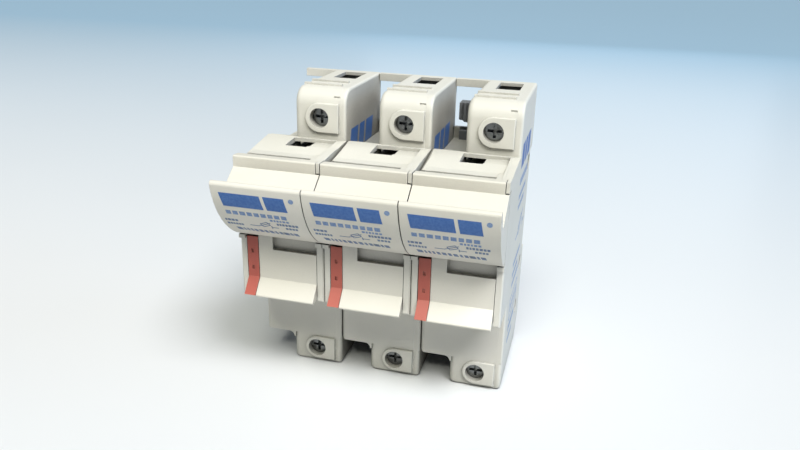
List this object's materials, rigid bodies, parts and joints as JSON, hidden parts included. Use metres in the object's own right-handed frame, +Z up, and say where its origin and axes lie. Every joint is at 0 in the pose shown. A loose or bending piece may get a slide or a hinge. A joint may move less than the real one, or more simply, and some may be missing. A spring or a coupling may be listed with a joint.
{
  "type": "cartridge fuse holder",
  "caption": "Modular rail-mounted holder for 14 x 51 mm cartridge fuses, with fold-down handles that carry the fuses and cage-clamp terminals.",
  "frame": {"origin": "middle of the three poles, on the plane where the rail's flanges seat, at the rail's centreline", "axes": "+X across the poles to the right seen from the front, +Y to the back, +Z up"},
  "size_m": [0.0794, 0.0732, 0.0912],
  "materials": {
    "housing_plastic": "moulded, fine matt grain",
    "handle_plastic": "moulded, satin",
    "red_plastic": "moulded, satin",
    "grey_plastic": "moulded, satin",
    "ceramic": "unglazed steatite",
    "nickel": "nickel plate, fine turning marks",
    "silver": "rolled strip",
    "tinned_copper": "tin plate",
    "spring_steel": "blued",
    "zinc_steel": "zinc plate, dull"
  },
  "bodies": {
    "housing": {"housing_base_1": "housing_plastic", "side_cover_1": "housing_plastic", "upper_contact_1": "tinned_copper", "lower_contact_1": "tinned_copper", "contact_springs_1": "spring_steel", "pivot_pin_1": "zinc_steel", "housing_base_2": "housing_plastic", "side_cover_2": "housing_plastic", "upper_contact_2": "tinned_copper", "lower_contact_2": "tinned_copper", "contact_springs_2": "spring_steel", "pivot_pin_2": "zinc_steel", "housing_base_3": "housing_plastic", "side_cover_3": "housing_plastic", "upper_contact_3": "tinned_copper", "lower_contact_3": "tinned_copper", "contact_springs_3": "spring_steel", "pivot_pin_3": "zinc_steel", "long_rivets": "zinc_steel"},
    "handle_2": {"handle_2": "handle_plastic", "fuse_tube_2": "ceramic", "fuse_caps_2": "nickel", "fuse_element_2": "silver", "handle_tie_rod": "zinc_steel"},
    "handle_1": {"handle_1": "handle_plastic", "fuse_tube_1": "ceramic", "fuse_caps_1": "nickel", "fuse_element_1": "silver"},
    "handle_3": {"handle_3": "handle_plastic", "fuse_tube_3": "ceramic", "fuse_caps_3": "nickel", "fuse_element_3": "silver"},
    "lock_lever_1": {"lock_lever_1": "red_plastic"},
    "lock_lever_2": {"lock_lever_2": "red_plastic"},
    "lock_lever_3": {"lock_lever_3": "red_plastic"},
    "top_screw_1": {"top_terminal_screw_1": "zinc_steel"},
    "top_cage_1": {"top_cage_clamp_1": "zinc_steel"},
    "bottom_screw_1": {"bottom_terminal_screw_1": "zinc_steel"},
    "bottom_cage_1": {"bottom_cage_clamp_1": "zinc_steel"},
    "top_screw_2": {"top_terminal_screw_2": "zinc_steel"},
    "top_cage_2": {"top_cage_clamp_2": "zinc_steel"},
    "bottom_screw_2": {"bottom_terminal_screw_2": "zinc_steel"},
    "bottom_cage_2": {"bottom_cage_clamp_2": "zinc_steel"},
    "top_screw_3": {"top_terminal_screw_3": "zinc_steel"},
    "top_cage_3": {"top_cage_clamp_3": "zinc_steel"},
    "bottom_screw_3": {"bottom_terminal_screw_3": "zinc_steel"},
    "bottom_cage_3": {"bottom_cage_clamp_3": "zinc_steel"},
    "upper_clip_1": {"upper_rail_clip_1": "grey_plastic"},
    "lower_clip_1": {"lower_rail_clip_1": "grey_plastic"},
    "upper_clip_2": {"upper_rail_clip_2": "grey_plastic"},
    "lower_clip_2": {"lower_rail_clip_2": "grey_plastic"},
    "upper_clip_3": {"upper_rail_clip_3": "grey_plastic"},
    "lower_clip_3": {"lower_rail_clip_3": "grey_plastic"}
  },
  "joints": [
    {"name": "handle_2_swing", "type": "hinge", "parent": "housing", "child": "handle_2", "pos_m": [0, -0.042, -0.0175], "axis": [1, 0, 0], "range_deg": [0, 90]},
    {"name": "handle_1_swing", "type": "hinge", "parent": "housing", "child": "handle_1", "pos_m": [-0.0265, -0.042, -0.0175], "axis": [1, 0, 0], "range_deg": [0, 90]},
    {"name": "handle_3_swing", "type": "hinge", "parent": "housing", "child": "handle_3", "pos_m": [0.0265, -0.042, -0.0175], "axis": [1, 0, 0], "range_deg": [0, 90]},
    {"name": "lock_lever_1_fold", "type": "hinge", "parent": "handle_1", "child": "lock_lever_1", "pos_m": [-0.0359, -0.0504, -0.0042], "axis": [-1, 0, 0], "range_deg": [0, 55]},
    {"name": "lock_lever_2_fold", "type": "hinge", "parent": "handle_2", "child": "lock_lever_2", "pos_m": [-0.0094, -0.0504, -0.0042], "axis": [-1, 0, 0], "range_deg": [0, 55]},
    {"name": "lock_lever_3_fold", "type": "hinge", "parent": "handle_3", "child": "lock_lever_3", "pos_m": [0.0171, -0.0504, -0.0042], "axis": [-1, 0, 0], "range_deg": [0, 55]},
    {"name": "top_screw_1_turn", "type": "hinge", "parent": "housing", "child": "top_screw_1", "pos_m": [-0.02165, -0.02, 0.0298], "axis": [0, 1, 0], "range_deg": [0, 2160]},
    {"name": "top_cage_1_travel", "type": "slide", "parent": "housing", "child": "top_cage_1", "axis": [0, -1, 0], "range_m": [0, 0.006]},
    {"name": "bottom_screw_1_turn", "type": "hinge", "parent": "housing", "child": "bottom_screw_1", "pos_m": [-0.02165, -0.02, -0.0467], "axis": [0, 1, 0], "range_deg": [0, 2160]},
    {"name": "bottom_cage_1_travel", "type": "slide", "parent": "housing", "child": "bottom_cage_1", "axis": [0, -1, 0], "range_m": [0, 0.006]},
    {"name": "top_screw_2_turn", "type": "hinge", "parent": "housing", "child": "top_screw_2", "pos_m": [0.00485, -0.02, 0.0298], "axis": [0, 1, 0], "range_deg": [0, 2160]},
    {"name": "top_cage_2_travel", "type": "slide", "parent": "housing", "child": "top_cage_2", "axis": [0, -1, 0], "range_m": [0, 0.006]},
    {"name": "bottom_screw_2_turn", "type": "hinge", "parent": "housing", "child": "bottom_screw_2", "pos_m": [0.00485, -0.02, -0.0467], "axis": [0, 1, 0], "range_deg": [0, 2160]},
    {"name": "bottom_cage_2_travel", "type": "slide", "parent": "housing", "child": "bottom_cage_2", "axis": [0, -1, 0], "range_m": [0, 0.006]},
    {"name": "top_screw_3_turn", "type": "hinge", "parent": "housing", "child": "top_screw_3", "pos_m": [0.03135, -0.02, 0.0298], "axis": [0, 1, 0], "range_deg": [0, 2160]},
    {"name": "top_cage_3_travel", "type": "slide", "parent": "housing", "child": "top_cage_3", "axis": [0, -1, 0], "range_m": [0, 0.006]},
    {"name": "bottom_screw_3_turn", "type": "hinge", "parent": "housing", "child": "bottom_screw_3", "pos_m": [0.03135, -0.02, -0.0467], "axis": [0, 1, 0], "range_deg": [0, 2160]},
    {"name": "bottom_cage_3_travel", "type": "slide", "parent": "housing", "child": "bottom_cage_3", "axis": [0, -1, 0], "range_m": [0, 0.006]},
    {"name": "upper_clip_1_release", "type": "slide", "parent": "housing", "child": "upper_clip_1", "axis": [0, 0, 1], "range_m": [0, 0.0025]},
    {"name": "lower_clip_1_release", "type": "slide", "parent": "housing", "child": "lower_clip_1", "axis": [0, 0, -1], "range_m": [0, 0.003]},
    {"name": "upper_clip_2_release", "type": "slide", "parent": "housing", "child": "upper_clip_2", "axis": [0, 0, 1], "range_m": [0, 0.0025]},
    {"name": "lower_clip_2_release", "type": "slide", "parent": "housing", "child": "lower_clip_2", "axis": [0, 0, -1], "range_m": [0, 0.003]},
    {"name": "upper_clip_3_release", "type": "slide", "parent": "housing", "child": "upper_clip_3", "axis": [0, 0, 1], "range_m": [0, 0.0025]},
    {"name": "lower_clip_3_release", "type": "slide", "parent": "housing", "child": "lower_clip_3", "axis": [0, 0, -1], "range_m": [0, 0.003]}
  ],
  "couplings": [
    {"joint": "handle_1_swing", "follows": "handle_2_swing", "ratio": 1},
    {"joint": "handle_3_swing", "follows": "handle_2_swing", "ratio": 1},
    {"joint": "top_screw_1_turn", "follows": "top_cage_1_travel", "rad_per_m": 6283.2},
    {"joint": "bottom_screw_1_turn", "follows": "bottom_cage_1_travel", "rad_per_m": 6283.2},
    {"joint": "top_screw_2_turn", "follows": "top_cage_2_travel", "rad_per_m": 6283.2},
    {"joint": "bottom_screw_2_turn", "follows": "bottom_cage_2_travel", "rad_per_m": 6283.2},
    {"joint": "top_screw_3_turn", "follows": "top_cage_3_travel", "rad_per_m": 6283.2},
    {"joint": "bottom_screw_3_turn", "follows": "bottom_cage_3_travel", "rad_per_m": 6283.2}
  ]
}
